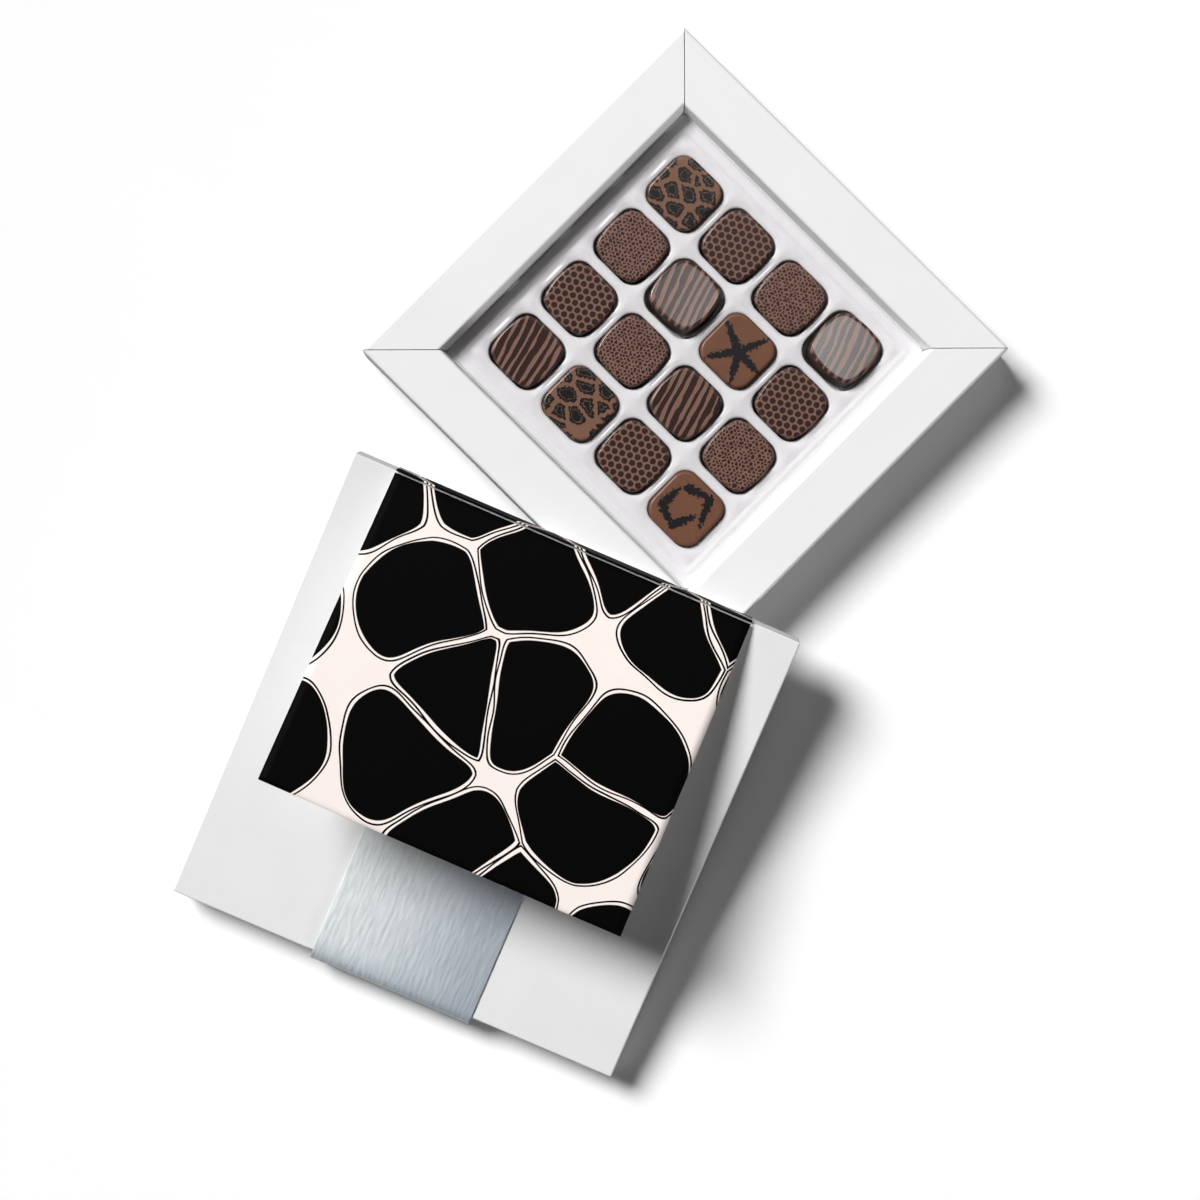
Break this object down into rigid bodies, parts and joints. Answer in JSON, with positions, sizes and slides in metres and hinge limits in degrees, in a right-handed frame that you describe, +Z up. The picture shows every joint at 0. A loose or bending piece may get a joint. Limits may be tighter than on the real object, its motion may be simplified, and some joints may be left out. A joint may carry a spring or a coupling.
{
  "type": "chocolate box",
  "caption": "Square folded-card chocolate box: mitred frame base with a clear cup tray of printed chocolates, and a leaning lid with a hinged printed card and a crinkled paper band.",
  "frame": {"origin": "centre of the underside of the open base", "axes": "+Z up; X and Y along the base's sides; the lid leans against the corner at -X, -Y"},
  "size_m": [0.3619, 0.2557, 0.0549],
  "materials": {
    "frame_card": "white coated card, matte",
    "lid_wrap": "board wrapped in white paper, matte",
    "lining_paper": "plain white paper",
    "clear_sheet": "clear thermoformed sheet, glossy",
    "dark_chocolate": "tempered dark chocolate with a printed top, satin",
    "milk_chocolate": "tempered milk chocolate with a printed top, satin",
    "band_paper": "pale silver crinkled paper, satin",
    "printed_card": "cream card printed in black, satin"
  },
  "bodies": {
    "base": {"base_floor": "frame_card", "rail_front": "frame_card", "rail_right": "frame_card", "rail_back": "frame_card", "rail_left": "frame_card"},
    "tray": {"tray": "clear_sheet"},
    "lid": {"lid_top": "lid_wrap", "lid_skirt_front": "lid_wrap", "lid_skirt_right": "lid_wrap", "lid_skirt_back": "lid_wrap", "lid_skirt_left": "lid_wrap", "lid_lining": "lining_paper", "lid_corner_stays": "lining_paper", "paper_band": "band_paper", "card_tab": "printed_card"},
    "flap": {"card_flap": "printed_card"},
    "chocolate_r1c1": {"chocolate_r1c1": "milk_chocolate"},
    "chocolate_r1c2": {"chocolate_r1c2": "dark_chocolate"},
    "chocolate_r1c3": {"chocolate_r1c3": "dark_chocolate"},
    "chocolate_r1c4": {"chocolate_r1c4": "dark_chocolate"},
    "chocolate_r2c1": {"chocolate_r2c1": "dark_chocolate"},
    "chocolate_r2c2": {"chocolate_r2c2": "dark_chocolate"},
    "chocolate_r2c3": {"chocolate_r2c3": "milk_chocolate"},
    "chocolate_r2c4": {"chocolate_r2c4": "dark_chocolate"},
    "chocolate_r3c1": {"chocolate_r3c1": "dark_chocolate"},
    "chocolate_r3c2": {"chocolate_r3c2": "dark_chocolate"},
    "chocolate_r3c3": {"chocolate_r3c3": "dark_chocolate"},
    "chocolate_r3c4": {"chocolate_r3c4": "dark_chocolate"},
    "chocolate_r4c1": {"chocolate_r4c1": "dark_chocolate"},
    "chocolate_r4c2": {"chocolate_r4c2": "milk_chocolate"},
    "chocolate_r4c3": {"chocolate_r4c3": "dark_chocolate"},
    "chocolate_r4c4": {"chocolate_r4c4": "milk_chocolate"}
  },
  "joints": [
    {"name": "lid_lift", "type": "slide", "parent": "base", "child": "lid", "axis": [0, 0, 1], "range_m": [0, 0.12]},
    {"name": "flap_turn", "type": "hinge", "parent": "lid", "child": "flap", "pos_m": [-0.08204, -0.02252, 0.04032], "axis": [-0.3681, 0.9298, 0], "range_deg": [-14.5, 75.5]},
    {"name": "tray_lift", "type": "slide", "parent": "base", "child": "tray", "axis": [0, 0, 1], "range_m": [0, 0.06]},
    {"name": "chocolate_r1c1_lift", "type": "slide", "parent": "tray", "child": "chocolate_r1c1", "axis": [0, 0, 1], "range_m": [0, 0.03]},
    {"name": "chocolate_r1c2_lift", "type": "slide", "parent": "tray", "child": "chocolate_r1c2", "axis": [0, 0, 1], "range_m": [0, 0.03]},
    {"name": "chocolate_r1c3_lift", "type": "slide", "parent": "tray", "child": "chocolate_r1c3", "axis": [0, 0, 1], "range_m": [0, 0.03]},
    {"name": "chocolate_r1c4_lift", "type": "slide", "parent": "tray", "child": "chocolate_r1c4", "axis": [0, 0, 1], "range_m": [0, 0.03]},
    {"name": "chocolate_r2c1_lift", "type": "slide", "parent": "tray", "child": "chocolate_r2c1", "axis": [0, 0, 1], "range_m": [0, 0.03]},
    {"name": "chocolate_r2c2_lift", "type": "slide", "parent": "tray", "child": "chocolate_r2c2", "axis": [0, 0, 1], "range_m": [0, 0.03]},
    {"name": "chocolate_r2c3_lift", "type": "slide", "parent": "tray", "child": "chocolate_r2c3", "axis": [0, 0, 1], "range_m": [0, 0.03]},
    {"name": "chocolate_r2c4_lift", "type": "slide", "parent": "tray", "child": "chocolate_r2c4", "axis": [0, 0, 1], "range_m": [0, 0.03]},
    {"name": "chocolate_r3c1_lift", "type": "slide", "parent": "tray", "child": "chocolate_r3c1", "axis": [0, 0, 1], "range_m": [0, 0.03]},
    {"name": "chocolate_r3c2_lift", "type": "slide", "parent": "tray", "child": "chocolate_r3c2", "axis": [0, 0, 1], "range_m": [0, 0.03]},
    {"name": "chocolate_r3c3_lift", "type": "slide", "parent": "tray", "child": "chocolate_r3c3", "axis": [0, 0, 1], "range_m": [0, 0.03]},
    {"name": "chocolate_r3c4_lift", "type": "slide", "parent": "tray", "child": "chocolate_r3c4", "axis": [0, 0, 1], "range_m": [0, 0.03]},
    {"name": "chocolate_r4c1_lift", "type": "slide", "parent": "tray", "child": "chocolate_r4c1", "axis": [0, 0, 1], "range_m": [0, 0.03]},
    {"name": "chocolate_r4c2_lift", "type": "slide", "parent": "tray", "child": "chocolate_r4c2", "axis": [0, 0, 1], "range_m": [0, 0.03]},
    {"name": "chocolate_r4c3_lift", "type": "slide", "parent": "tray", "child": "chocolate_r4c3", "axis": [0, 0, 1], "range_m": [0, 0.03]},
    {"name": "chocolate_r4c4_lift", "type": "slide", "parent": "tray", "child": "chocolate_r4c4", "axis": [0, 0, 1], "range_m": [0, 0.03]}
  ]
}
